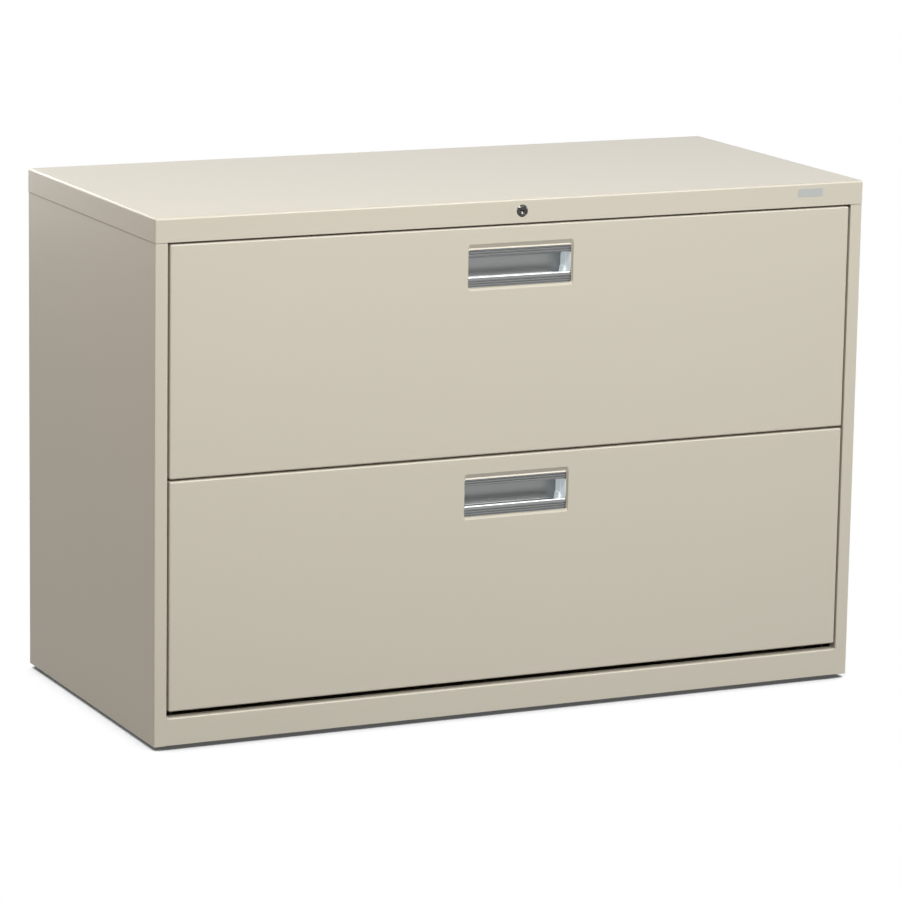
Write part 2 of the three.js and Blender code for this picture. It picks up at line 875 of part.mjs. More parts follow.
function casePieces() {
  const pieces = [
    part('top_cap', topCap(), 'paint'),
    part('back_panel', backPanel(), 'paint'),
    part('bottom_pan', bottomPan(), 'paint'),
    part('base_rail', baseRail(), 'paint'),
    part('header_rail', headerRail(), 'paint'),
    part('counterweight', counterweight(), 'iron'),
  ];
  for (const [word, side] of sides) {
    pieces.push(part(`${word}_side_panel`, sidePanel(side), 'paint'));
    pieces.push(part(`${word}_front_post`, frontPost(side), 'zinc'));
    pieces.push(part(`${word}_rear_post`, rearPost(side), 'zinc'));
  }
  return pieces;
}

function glidePieces() {
  const corners = ['front_left', 'front_right', 'rear_left', 'rear_right'];
  return glidePlaces().map((place, i) => part(`glide_${corners[i]}`, glide(place), 'foot'));
}

function lockPieces() {
  return [
    part('lock_housing', lockHousing(), 'chrome'),
    part('lock_plug', lockPlug(), 'chrome'),
    part('lock_shaft', lockShaft(), 'brightSteel'),
    part('shaft_bracket', shaftBracket(), 'zinc'),
    part('lock_bar', lockBar(), 'zinc'),
    part('lock_bar_channel', lockBarChannel(), 'zinc'),
  ];
}

function drawerPieces(level, frontBottom) {
  const pieces = [
    part(`${level}_front_panel`, frontPanel(frontBottom), 'paint'),
    part(`${level}_front_liner`, frontLiner(frontBottom), 'paint'),
    part(`${level}_drawer_bottom`, drawerBottom(frontBottom), 'paint'),
    part(`${level}_drawer_back`, drawerBack(frontBottom), 'paint'),
    part(`${level}_pull`, pull(frontBottom), 'aluminium'),
    part(`${level}_front_hangrail`, hangrail(frontBottom, boxFrontY + hangrailInset), 'zinc'),
    part(`${level}_rear_hangrail`, hangrail(frontBottom, boxRearY - hangrailInset), 'zinc'),
  ];
  for (const [word, side] of sides) {
    pieces.push(part(`${level}_drawer_${word}_side`, drawerSide(frontBottom, side), 'paint'));
  }
  return pieces;
}

function slidePieces(level, frontBottom) {
  return sides.flatMap(([word, side]) => [
    part(`${level}_${word}_slide_outer`, slideOuter(frontBottom, side), 'zinc'),
    part(`${level}_${word}_slide_intermediate`, slideIntermediate(frontBottom, side), 'zinc'),
    part(`${level}_${word}_slide_inner`, slideInner(frontBottom, side), 'zinc'),
    part(`${level}_${word}_outer_cage`, outerCage(frontBottom, side), 'cage'),
    part(`${level}_${word}_inner_cage`, innerCage(frontBottom, side), 'cage'),
  ]);
}

const cabinet = group('lateral_cabinet', [
  group('case', casePieces()),
  group('glides', glidePieces()),
  group('lock', lockPieces()),
  ...levels.map(([level, frontBottom]) => group(`${level}_drawer`, drawerPieces(level, frontBottom))),
  ...levels.map(([level, frontBottom]) => group(`${level}_slides`, slidePieces(level, frontBottom))),
]);

export default cabinet;
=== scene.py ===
import json
from math import atan2, cos, hypot, pi, radians, sin, tan

import bmesh
import bpy
from mathutils import Matrix, Vector

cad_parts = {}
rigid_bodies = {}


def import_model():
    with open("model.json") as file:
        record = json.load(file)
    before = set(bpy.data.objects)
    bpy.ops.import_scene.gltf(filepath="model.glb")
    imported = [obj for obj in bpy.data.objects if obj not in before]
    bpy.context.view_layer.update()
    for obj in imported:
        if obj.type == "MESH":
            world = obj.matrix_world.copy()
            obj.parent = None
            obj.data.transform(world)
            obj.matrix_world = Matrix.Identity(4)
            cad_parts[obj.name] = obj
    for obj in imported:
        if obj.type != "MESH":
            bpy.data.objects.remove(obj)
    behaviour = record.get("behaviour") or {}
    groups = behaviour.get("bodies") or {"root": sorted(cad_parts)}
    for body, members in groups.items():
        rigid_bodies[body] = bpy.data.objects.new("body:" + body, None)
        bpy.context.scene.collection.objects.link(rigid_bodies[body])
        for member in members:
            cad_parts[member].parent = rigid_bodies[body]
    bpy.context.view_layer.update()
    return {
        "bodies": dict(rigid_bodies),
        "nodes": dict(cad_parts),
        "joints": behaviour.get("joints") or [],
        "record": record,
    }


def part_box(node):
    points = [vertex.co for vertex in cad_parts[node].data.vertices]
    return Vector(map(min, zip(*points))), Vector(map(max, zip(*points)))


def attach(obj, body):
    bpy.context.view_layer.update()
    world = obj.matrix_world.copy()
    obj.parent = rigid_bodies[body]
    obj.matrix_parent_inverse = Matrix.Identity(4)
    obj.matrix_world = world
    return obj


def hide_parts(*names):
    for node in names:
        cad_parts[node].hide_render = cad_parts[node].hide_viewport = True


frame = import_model()
mm = 0.001
print("frame loaded:", len(frame["nodes"]), "CAD nodes")


def reach(node):  # lowest and highest corners of a CAD node, in millimetres
    low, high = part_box(node)
    return low / mm, high / mm


# Modelling tools: everything below is given in millimetres

def clearAll():
    if bpy.context.object and bpy.context.object.mode == "EDIT":
        bpy.ops.object.mode_set(mode="OBJECT")
    bpy.ops.object.select_all(action="DESELECT")


def editNew():
    bpy.ops.object.transform_apply(location=True, rotation=True, scale=True)
    bpy.ops.object.mode_set(mode="EDIT")
    return bpy.context.object


def pick(kind, test):  # selects by place and by normal or direction
    bpy.ops.mesh.select_mode(type=kind)
    bpy.ops.mesh.select_all(action="DESELECT")
    mesh = bpy.context.object.data
    shape = bmesh.from_edit_mesh(mesh)
    count = 0
    for item in {"VERT": shape.verts, "EDGE": shape.edges, "FACE": shape.faces}[kind]:
        if kind == "VERT":
            place, way = item.co, item.normal
        elif kind == "EDGE":
            ends = [vert.co for vert in item.verts]
            place, way = (ends[0] + ends[1]) / 2, (ends[1] - ends[0]).normalized()
        else:
            place, way = item.calc_center_median(), item.normal
        if test(place / mm, way):
            item.select_set(True)
            count += 1
    shape.select_flush_mode()
    bmesh.update_edit_mesh(mesh)
    if not count:
        raise RuntimeError(f"nothing to pick on {bpy.context.object.name}")
    return count


def pickAll():
    bpy.ops.mesh.select_all(action="SELECT")


def push(x, y, z):
    bpy.ops.mesh.extrude_region_move(TRANSFORM_OT_translate={"value": Vector((x, y, z)) * mm})


def shift(x, y, z):
    bpy.ops.transform.translate(value=Vector((x, y, z)) * mm)


def stretch(x, y, z, centre):
    bpy.ops.transform.resize(value=(x, y, z), center_override=Vector(centre) * mm)


def roundOff(radius, steps, kind="EDGES"):
    bpy.ops.mesh.bevel(offset=radius * mm, offset_type="OFFSET", segments=steps, profile=0.5,
                       affect=kind, clamp_overlap=True)


def faceOut():
    pickAll()
    bpy.ops.mesh.remove_doubles(threshold=0.000001)
    bpy.ops.mesh.normals_make_consistent(inside=False)


def box(low, high):
    clearAll()
    low, high = Vector(low) * mm, Vector(high) * mm
    bpy.ops.mesh.primitive_cube_add(size=1, location=(low + high) / 2, scale=high - low)
    return editNew()


def chain(points):  # a run of edges, drawn by extruding one corner from point to point
    clearAll()
    points = [Vector(point) for point in points]
    bpy.ops.mesh.primitive_plane_add(size=0.002, location=points[0] * mm)
    piece = editNew()
    bpy.ops.mesh.select_mode(type="VERT")
    pickAll()
    bpy.ops.mesh.merge(type="CENTER")
    for start, end in zip(points, points[1:]):
        bpy.ops.mesh.extrude_vertices_move(TRANSFORM_OT_translate={"value": (end - start) * mm})
    return piece


def inSpace(axis, point, along=0):  # a point of a section, put at its place along the axis
    first, second = point
    return Vector({"x": (along, first, second), "y": (first, along, second), "z": (first, second, along)}[axis])


def roundCorners(axis, path, along, radii, steps):
    for i, radius in radii.items():
        before, here, after = (Vector(path[i + k - 1]) for k in range(3))
        turn = (here - before).angle(after - here)
        spot = inSpace(axis, path[i], along)
        pick("VERT", lambda place, way: (place - spot).length < 0.002)
        roundOff(radius * tan(turn / 2), steps, "VERTICES")


def strip(axis, path, span, thick, outward, radii, steps=5):  # sheet folded along a path
    piece = chain([inSpace(axis, point, span[0]) for point in path])
    roundCorners(axis, path, span[0], radii, steps)
    pickAll()
    push(*inSpace(axis, (0, 0), span[1] - span[0]))
    pickAll()
    bpy.ops.mesh.normals_make_consistent(inside=False)
    outward = Vector(outward)
    furthest = max(bmesh.from_edit_mesh(piece.data).faces, key=lambda face: face.calc_center_median().dot(outward))
    if furthest.normal.dot(outward) < 0:
        bpy.ops.mesh.flip_normals()
    bpy.ops.object.mode_set(mode="OBJECT")
    apply(piece, "SOLIDIFY", thickness=thick * mm, offset=-1, use_even_offset=True)
    bpy.ops.object.mode_set(mode="EDIT")
    faceOut()
    return piece


def prism(axis, path, span, radii=None, steps=4):  # a closed section drawn out along its axis
    piece = chain([inSpace(axis, point, span[0]) for point in path])
    pick("VERT", lambda place, way: min((place - inSpace(axis, path[k], span[0])).length for k in (0, -1)) < 0.002)
    bpy.ops.mesh.edge_face_add()
    roundCorners(axis, path, span[0], radii or {}, steps)
    pickAll()
    bpy.ops.mesh.edge_face_add()
    pickAll()
    push(*inSpace(axis, (0, 0), span[1] - span[0]))
    faceOut()
    return piece


def turned(axis, profile, centre, steps=48):  # a profile of (radius, along) pairs spun round its axis
    centre = Vector(centre)
    side, way = {"y": (Vector((1, 0, 0)), Vector((0, 1, 0))), "z": (Vector((1, 0, 0)), Vector((0, 0, 1))),
                 "x": (Vector((0, 1, 0)), Vector((1, 0, 0)))}[axis]
    piece = chain([centre + side * radius + way * along for radius, along in profile])
    pickAll()
    bpy.ops.mesh.spin(steps=steps, angle=2 * pi, center=centre * mm, axis=way)
    faceOut()
    return piece


def apply(piece, kind, **settings):
    bpy.context.view_layer.objects.active = piece
    bpy.ops.object.modifier_add(type=kind)
    modifier = piece.modifiers[-1]
    for name, value in settings.items():
        setattr(modifier, name, value)
    bpy.ops.object.modifier_apply(modifier=modifier.name)


def cut(piece, cutter, how="DIFFERENCE"):
    clearAll()
    apply(piece, "BOOLEAN", operation=how, object=cutter, solver="EXACT")
    bpy.data.objects.remove(cutter)


def join(piece, *others):
    clearAll()
    for part in (*others, piece):
        part.select_set(True)
    bpy.context.view_layer.objects.active = piece
    bpy.ops.object.join()
    return piece


def twin(piece, x=0, y=0, z=0, mirror=False):  # a copy with its own mesh, moved or mirrored across the middle
    clearAll()
    piece.select_set(True)
    bpy.context.view_layer.objects.active = piece
    bpy.ops.object.duplicate()
    copy = bpy.context.object
    copy.scale.x = -1 if mirror else 1
    copy.location = Vector((x, y, z)) * mm
    editNew()
    if mirror:
        pickAll()
        bpy.ops.mesh.normals_make_consistent(inside=False)
    bpy.ops.object.mode_set(mode="OBJECT")
    return copy


def done(piece, name, finish, body, nodes=(), angle=32):
    clearAll()
    piece.select_set(True)
    bpy.context.view_layer.objects.active = piece
    piece.name = piece.data.name = name
    bpy.ops.object.shade_smooth_by_angle(angle=radians(angle))
    apply(piece, "WEIGHTED_NORMAL", keep_sharp=True, weight=100)
    piece.data.materials.clear()
    piece.data.materials.append(finish)
    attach(piece, body)
    if nodes:
        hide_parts(*nodes)
    return piece


# Finishes

class Wire:  # a shader socket that can be added, multiplied and so on
    def __init__(self, finish, socket):
        self.finish = finish
        self.socket = socket

    def maths(self, operation, first, second):
        return self.finish.add("ShaderNodeMath", {"operation": operation}, {0: first, 1: second})

    def __add__(self, other):
        return self.maths("ADD", self, other)

    def __radd__(self, other):
        return self.maths("ADD", other, self)

    def __sub__(self, other):
        return self.maths("SUBTRACT", self, other)

    def __rsub__(self, other):
        return self.maths("SUBTRACT", other, self)

    def __mul__(self, other):
        return self.maths("MULTIPLY", self, other)

    def __rmul__(self, other):
        return self.maths("MULTIPLY", other, self)

    def __truediv__(self, other):
        return self.maths("DIVIDE", self, other)

    def __pow__(self, other):
        return self.maths("POWER", self, other)


class Finish:  # a material or a world, built node by node
    def __init__(self, owner):
        owner.use_nodes = True
        self.owner = owner
        self.tree = owner.node_tree
        self.tree.nodes.clear()

    def add(self, kind, settings=None, inputs=None, out=0):
        node = self.tree.nodes.new(kind)
        for name, value in (settings or {}).items():
            if name == "stops":
                ramp = node.color_ramp.elements
                while len(ramp) < len(value):
                    ramp.new(1)
                for stop, (place, colour) in zip(ramp, value):
                    stop.position, stop.color = place, (*colour, 1)
            else:
                setattr(node, name, value)
        for name, value in (inputs or {}).items():
            if isinstance(value, Wire):
                self.tree.links.new(value.socket, node.inputs[name])
            else:
                node.inputs[name].default_value = value
        return Wire(self, node.outputs[out]) if len(node.outputs) else None

    def coords(self, scale=(1, 1, 1)):  # the piece's own place in metres
        place = self.add("ShaderNodeTexCoord", out="Object")
        return self.add("ShaderNodeMapping", {}, {"Vector": place, "Scale": scale})

    def noise(self, place, scale, detail=2, roughness=0.5):
        return self.add("ShaderNodeTexNoise", {}, {"Vector": place, "Scale": scale, "Detail": detail, "Roughness": roughness})

    def blend(self, amount, first, second):  # colours
        return self.add("ShaderNodeMix", {"data_type": "RGBA"}, {0: amount, 6: first, 7: second}, out=2)

    def bump(self, height, strength, distance):
        return self.add("ShaderNodeBump", {}, {"Height": height, "Strength": strength, "Distance": distance * mm})

    def surface(self, shader):
        output = "ShaderNodeOutputWorld" if isinstance(self.owner, bpy.types.World) else "ShaderNodeOutputMaterial"
        self.add(output, {}, {"Surface": shader})
        return self.owner


def newFinish(name):
    return Finish(bpy.data.materials.new(name))


def rgb(colour):
    return (*colour, 1)


paintLook = {"base": (0.585, 0.545, 0.455), "pale": (0.612, 0.571, 0.480), "rough": 0.30, "peel": 0.06}


def puttyPaint():
    f = newFinish("putty_powder_coat")
    place = f.coords()
    cloud = f.noise(place, 2.3, 3)
    grain = f.noise(place, 620, 2)
    speck = f.noise(place, 1900, 1)
    tone = f.blend(cloud * 0.7 + speck * 0.3, rgb(paintLook["base"]), rgb(paintLook["pale"]))
    height = grain * 0.8 + speck * 0.2
    normal = f.bump(height, paintLook["peel"], 0.12)
    rough = paintLook["rough"] - 0.05 + grain * 0.06 + cloud * 0.05
    return f.surface(f.add("ShaderNodeBsdfPrincipled", {}, {
        "Base Color": tone, "Roughness": rough, "Normal": normal, "IOR": 1.46}))


def rolledZinc():
    f = newFinish("zinc_plated_sheet")
    place = f.coords()
    flake = f.add("ShaderNodeTexVoronoi", {}, {"Vector": place, "Scale": 190}, out="Color")
    flakeTone = f.add("ShaderNodeSeparateColor", {}, {"Color": flake})
    drawn = f.noise(f.coords((60, 3, 60)), 12, 3)
    tone = f.blend(flakeTone * 0.5 + drawn * 0.5, rgb((0.42, 0.43, 0.43)), rgb((0.60, 0.61, 0.60)))
    normal = f.bump(drawn, 0.08, 0.05)
    return f.surface(f.add("ShaderNodeBsdfPrincipled", {}, {
        "Base Color": tone, "Roughness": 0.26 + drawn * 0.14 + flakeTone * 0.06, "Metallic": 0.92, "Normal": normal}))


def anodised():
    f = newFinish("satin_anodised_aluminium")
    drawn = f.noise(f.coords((2, 900, 900)), 1.6, 4, 0.65)
    fine = f.noise(f.coords((14, 2600, 2600)), 1, 2)
    streak = drawn * 0.65 + fine * 0.35
    tone = f.blend(streak, rgb((0.22, 0.225, 0.225)), rgb((0.32, 0.325, 0.325)))
    normal = f.bump(streak, 0.10, 0.05)
    return f.surface(f.add("ShaderNodeBsdfPrincipled", {}, {
        "Base Color": tone, "Roughness": 0.24 + streak * 0.10, "Metallic": 0.9, "Normal": normal}))


def mouldedPlastic(name, dark, light, rough, scale):
    f = newFinish(name)
    place = f.coords()
    cloud = f.noise(place, 45, 2)
    grain = f.noise(place, scale, 2)
    tone = f.blend(cloud * 0.6 + grain * 0.4, rgb(dark), rgb(light))
    normal = f.bump(grain, 0.12, 0.05)
    return f.surface(f.add("ShaderNodeBsdfPrincipled", {}, {
        "Base Color": tone, "Roughness": rough - 0.05 + grain * 0.1, "Normal": normal, "IOR": 1.49}))


def milkyPlastic():
    f = newFinish("milky_white_plastic")
    place = f.coords()
    cloud = f.noise(place, 45, 2)
    grain = f.noise(place, 500, 2)
    tone = f.blend(cloud * 0.6 + grain * 0.4, rgb((0.83, 0.87, 0.89)), rgb((0.88, 0.91, 0.92)))
    # painted light: the caps give off a faint glow of their own, standing in for the light that would reach them inside
    # the pull's hollow
    paintedGlow = f.blend(cloud, rgb((0.27, 0.31, 0.33)), rgb((0.31, 0.35, 0.37)))
    return f.surface(f.add("ShaderNodeBsdfPrincipled", {}, {
        "Base Color": tone, "Roughness": 0.3 + grain * 0.1, "Normal": f.bump(grain, 0.12, 0.05), "IOR": 1.49,
        "Emission Color": paintedGlow, "Emission Strength": 1.0}))


def polishedMetal(name, dark, light, rough, scale=(400, 400, 400)):
    f = newFinish(name)
    smear = f.noise(f.coords(scale), 1, 3)
    tone = f.blend(smear, rgb(dark), rgb(light))
    normal = f.bump(smear, 0.05, 0.03)
    return f.surface(f.add("ShaderNodeBsdfPrincipled", {}, {
        "Base Color": tone, "Roughness": rough + smear * 0.08, "Metallic": 1.0, "Normal": normal}))


def castIron():
    f = newFinish("dark_cast_iron")
    place = f.coords()
    lump = f.noise(place, 90, 5, 0.7)
    rust = f.noise(place, 14, 4, 0.6)
    tone = f.blend(rust, rgb((0.035, 0.034, 0.033)), rgb((0.075, 0.062, 0.05)))
    normal = f.bump(lump, 0.4, 0.5)
    return f.surface(f.add("ShaderNodeBsdfPrincipled", {}, {
        "Base Color": tone, "Roughness": 0.6 + lump * 0.25, "Metallic": 0.35, "Normal": normal}))


paint = puttyPaint()
zinc = rolledZinc()
aluminium = anodised()
whitePlastic = milkyPlastic()
blackPlastic = mouldedPlastic("black_moulded_nylon", (0.018, 0.018, 0.019), (0.034, 0.033, 0.032), 0.5, 700)
darkChrome = polishedMetal("dark_chrome", (0.066, 0.065, 0.062), (0.090, 0.088, 0.084), 0.05)
brightSteel = polishedMetal("bright_drawn_steel", (0.52, 0.52, 0.50), (0.66, 0.66, 0.64), 0.2, (700, 6, 700))
yellowZinc = polishedMetal("yellow_passivated_strip", (0.50, 0.37, 0.13), (0.66, 0.50, 0.22), 0.25, (300, 8, 300))
platePrint = mouldedPlastic("grey_plate", (0.42, 0.44, 0.43), (0.47, 0.49, 0.475), 0.42, 900)
iron = castIron()
print("finishes ready")

# Case

capShape = {"edge": 3.2, "sheet": 1.0, "lockHole": 15.2}


def topCap():
    low, high = reach("top_cap")
    piece = box(low, high)
    pick("FACE", lambda place, way: way.z < -0.9)
    bpy.ops.mesh.delete(type="FACE")
    pick("EDGE", lambda place, way: abs(way.z) > 0.9 or place.z > high.z - 0.01)
    roundOff(capShape["edge"], 6)
    bpy.ops.object.mode_set(mode="OBJECT")
    apply(piece, "SOLIDIFY", thickness=capShape["sheet"] * mm, offset=-1, use_even_offset=True)
    lockLow, lockHigh = reach("lock_housing")
    clearAll()
    bpy.ops.mesh.primitive_cylinder_add(vertices=48, radius=capShape["lockHole"] / 2 * mm, depth=0.012,
                                        location=Vector((0, low.y, (lockLow.z + lockHigh.z) / 2)) * mm,
                                        rotation=(pi / 2, 0, 0))
    cut(piece, bpy.context.object)
    done(piece, "top_cap_skin", paint, "cabinet", ["top_cap"])


sideShape = {"sheet": 1.0, "bend": 1.6, "stile": 18.2, "lip": 17.0, "rearReturn": 20.0, "seam": 0.9, "tongue": 1.3}


def sidePanels():
    low, high = reach("left_side_panel")
    capLow, capHigh = reach("top_cap")
    s = sideShape
    parts = []
    for inset, bottom, top in ((0, low.z, capLow.z - s["seam"]), (s["tongue"], capLow.z - 8, high.z)):
        x, front, rear = low.x + inset, low.y + inset, high.y - inset
        path = [(low.x + s["rearReturn"], rear), (x, rear), (x, front), (low.x + s["stile"], front),
                (low.x + s["stile"], low.y + s["lip"])]
        parts.append(strip("z", path, (bottom, top), s["sheet"], (-1, 0, 0), {1: s["bend"], 2: s["bend"], 3: s["bend"]}))
    left = join(*parts)
    right = twin(left, mirror=True)
    done(left, "left_side_skin", paint, "cabinet", ["left_side_panel"])
    done(right, "right_side_skin", paint, "cabinet", ["right_side_panel"])


baseShape = {"sheet": 1.0, "bend": 2.4, "footBend": 0.9, "backFlange": 20.0, "foot": 14.0, "blend": 3.0, "proud": 0.05}


def baseRail():
    low, high = reach("base_rail")
    s = baseShape
    path = [(high.y, high.z - s["backFlange"]), (high.y, high.z), (low.y, high.z), (low.y, low.z), (low.y + s["foot"], low.z)]
    rail = strip("x", path, (low.x, high.x), s["sheet"], (0, -1, 0), {1: s["bend"], 2: s["bend"], 3: s["footBend"]})
    # the filled joint to each stile: a skim of the face that runs on over the stile's bend
    front, top = low.y - s["proud"], high.z
    skims = []
    for x in (low.x, high.x):
        skim = box((x - s["blend"], front, low.z + 0.5), (x + s["blend"], front + 0.6, top))
        pick("EDGE", lambda place, way: abs(way.x) > 0.9 and place.y < front + 0.1)
        roundOff(0.55, 3)
        pick("EDGE", lambda place, way: abs(way.z) > 0.9 and place.y < front + 0.1)
        roundOff(0.04, 1)
        bpy.ops.object.mode_set(mode="OBJECT")
        skims.append(skim)
    done(join(rail, *skims), "base_rail_skin", paint, "cabinet", ["base_rail"])


weldShape = {"fromEdge": 10.0, "first": 70.0, "pitch": 74.0, "count": 9,
             "profile": [(0, 0.02), (2.3, 0.02), (2.7, 0.16), (3.2, 0.12), (3.6, -0.02)]}


backShape = {"seam": 0.9, "tongue": 0.9, "edge": 0.3}


def backPanel():
    low, high = reach("back_panel")
    capLow, capHigh = reach("top_cap")
    b = backShape
    panels = []
    for inset, bottom, top in ((0, low.z, capLow.z - b["seam"]), (b["tongue"], capLow.z - 8, high.z)):
        panel = box((low.x, low.y - inset, bottom), (high.x, high.y - inset, top))
        pick("EDGE", lambda place, way: place.y > high.y - inset - 0.01)
        roundOff(b["edge"], 2)
        bpy.ops.object.mode_set(mode="OBJECT")
        panels.append(panel)
    done(join(*panels), "back_skin", paint, "cabinet", ["back_panel"])
    # spot-weld marks down the rear returns of the sides
    s = weldShape
    side = reach("left_side_panel")
    spots = []
    for x in (side[0].x + s["fromEdge"], -side[0].x - s["fromEdge"]):
        for i in range(s["count"]):
            if not spots:
                spots.append(turned("y", s["profile"], (x, side[1].y, s["first"]), 24))
            else:
                spots.append(twin(spots[0], x - side[0].x - s["fromEdge"], 0, i * s["pitch"]))
    done(join(*spots), "rear_weld_marks", paint, "cabinet")


topCap()
sidePanels()
baseRail()
backPanel()
print("case skins made")

# Drawer fronts: a mouth is pressed into the face, and its edge turns out again as a lip round the pull

frontShape = {"sheet": 1.0, "edge": 2.4, "mouthWide": 159.0, "mouthTall": 63.5, "mouthFromTop": 23.0,
              "slope": {"deep": 3.6, "top": 6.0, "bottom": 3.5, "side": 1.6},
              "lip": {"deep": -1.3, "top": 1.9, "bottom": 0.2, "side": 0.2},
              "inside": {"deep": 1.1, "top": 0.2, "bottom": 0.1, "side": 0.05},
              "mouthCorner": 2.6, "mouthEdge": 0.8, "lipEdge": 0.35}


def drawerFront(level):
    s = frontShape
    low, high = reach(f"{level}_front_panel")
    piece = box(low, high)
    pick("FACE", lambda place, way: way.y > 0.9)
    bpy.ops.mesh.delete(type="FACE")
    pick("EDGE", lambda place, way: abs(way.y) > 0.9 or place.y < low.y + 0.01)
    roundOff(s["edge"], 5)
    pick("FACE", lambda place, way: way.y < -0.999)
    margin = 60
    bpy.ops.mesh.inset(thickness=margin * mm, use_even_offset=True)
    middle = (low + high) / 2
    top = high.z - s["mouthFromTop"]
    mouthZ = top - s["mouthTall"] / 2
    edges = 2 * (margin + s["edge"])
    stretch(s["mouthWide"] / (high.x - low.x - edges), 1, s["mouthTall"] / (high.z - low.z - edges), (0, low.y, middle.z))
    shift(0, 0, mouthZ - middle.z)
    wide, tall, centre, y = s["mouthWide"], s["mouthTall"], mouthZ, low.y
    for step in (s["slope"], s["lip"], s["inside"]):
        push(0, step["deep"], 0)
        y += step["deep"]
        newWide, newTall = wide - 2 * step["side"], tall - step["top"] - step["bottom"]
        stretch(newWide / wide, 1, newTall / tall, (0, y, centre))
        shift(0, 0, (step["bottom"] - step["top"]) / 2)
        wide, tall, centre = newWide, newTall, centre + (step["bottom"] - step["top"]) / 2
    bpy.ops.mesh.delete(type="FACE")
    # corners of the mouth, then its outer edge and the rim's edge
    inMouth = lambda place: abs(place.x) < 80.5 and abs(place.z - mouthZ) < 33
    pick("EDGE", lambda place, way: inMouth(place) and abs(way.x) < 0.9 and abs(way.z) < 0.9 and place.y > low.y + 0.05)
    roundOff(s["mouthCorner"], 4)
    pick("EDGE", lambda place, way: inMouth(place) and abs(place.y - low.y) < 0.01 and abs(way.y) < 0.1
         and (abs(place.x) > 70 or abs(place.z - mouthZ) > 25) and max(abs(place.x) / 80, abs(place.z - mouthZ) / 32.3) > 0.95)
    roundOff(s["mouthEdge"], 4)
    lipY = low.y + s["slope"]["deep"] + s["lip"]["deep"]
    pick("EDGE", lambda place, way: inMouth(place) and abs(place.y - lipY) < 0.01 and abs(way.y) < 0.1)
    roundOff(s["lipEdge"], 3)
    bpy.ops.object.mode_set(mode="OBJECT")
    apply(piece, "SOLIDIFY", thickness=s["sheet"] * mm, offset=-1, use_even_offset=False)
    done(piece, f"{level}_front_skin", paint, f"{level}_drawer", [f"{level}_front_panel"])


for level in ("upper", "lower"):
    drawerFront(level)
print("drawer fronts made")

# Pulls: an extrusion with three ribs on each band and a hollow between them, closed by white end caps

pullShape = {"faceDepth": 3.5, "bandTop": 7.7, "bandBottom": 17.6, "gripTop": 44.6, "noseFoot": 46.7, "floor": 51.4, "bandFoot": 62.2,
             "flange": 5.2, "backDepth": 36.0, "ceilingFall": 4.0, "gripReach": 10.0, "noseIn": 1.2, "noseLand": 2.2, "wall": 2.0, "halfWide": 79.6,
             "ribs": 3, "ribPitch": 3.3, "ribWide": 1.5, "ribDeep": 1.7}


def ribbed(y, start, s):  # flat-topped ribs with a round-bottomed groove under each, from the top down
    points = []
    gap = s["ribPitch"] - s["ribWide"]
    for i in range(s["ribs"]):
        top = start - i * s["ribPitch"]
        points += [(y + 0.25, top), (y, top - 0.25), (y, top - s["ribWide"] + 0.25), (y + 0.25, top - s["ribWide"])]
        points += [(y + s["ribDeep"] * sin(k * pi / 5), top - s["ribWide"] - gap * (1 - cos(k * pi / 5)) / 2) for k in (1, 2, 3, 4)]
    return points


def pullPlaces(level):
    low, high = reach(f"{level}_front_panel")
    top = high.z - frontShape["mouthFromTop"]
    return low.y, low.y + pullShape["faceDepth"], low.y + pullShape["backDepth"], top


def pull(level):
    s = pullShape
    frontY, faceY, backY, top = pullPlaces(level)
    bandBottom, gripTop, floorZ = top - s["bandBottom"], top - s["gripTop"], top - s["floor"]
    outline = [(faceY + 0.3, top - s["flange"])] + ribbed(faceY, top - s["bandTop"], s)
    ceiling = len(outline)
    outline += [(faceY + 0.6, bandBottom), (backY, bandBottom - s["ceilingFall"]), (backY, floorZ), (frontY + s["gripReach"], floorZ),
                (faceY + s["noseIn"], gripTop), (faceY, top - s["noseFoot"])]
    outline += ribbed(faceY, top - s["noseFoot"] - s["noseLand"], s)
    outline += [(faceY + 0.3, top - s["noseFoot"] - s["noseLand"] - s["ribs"] * s["ribPitch"]), (faceY + 0.3, top - s["bandFoot"])]
    rear = faceY + s["wall"]
    outline += [(rear, top - s["bandFoot"]), (rear, gripTop - 5.0), (frontY + s["gripReach"] - 0.5, floorZ - s["wall"]),
                (backY + s["wall"], floorZ - s["wall"]), (backY + s["wall"], bandBottom - s["ceilingFall"] + 1.4),
                (rear, bandBottom + 1.6), (rear, top - s["flange"])]
    piece = prism("x", outline, (-s["halfWide"], s["halfWide"]),
                  {ceiling: 0.3, ceiling + 1: 4.0, ceiling + 2: 1.4, ceiling + 3: 3.0, ceiling + 4: 0.7, ceiling + 5: 0.8}, 8)
    done(piece, f"{level}_pull_extrusion", aluminium, f"{level}_drawer", [f"{level}_pull"], angle=40)


# each end of the hollow is closed by a moulded cap: two raised panels with a line between them and a foot at the bottom
endShape = {"inner": 77.4, "panel": 77.8, "outer": 78.4, "start": 1.2, "line": 19.5, "lineWide": 1.0, "footOver": 3.4, "footIn": 3.4}


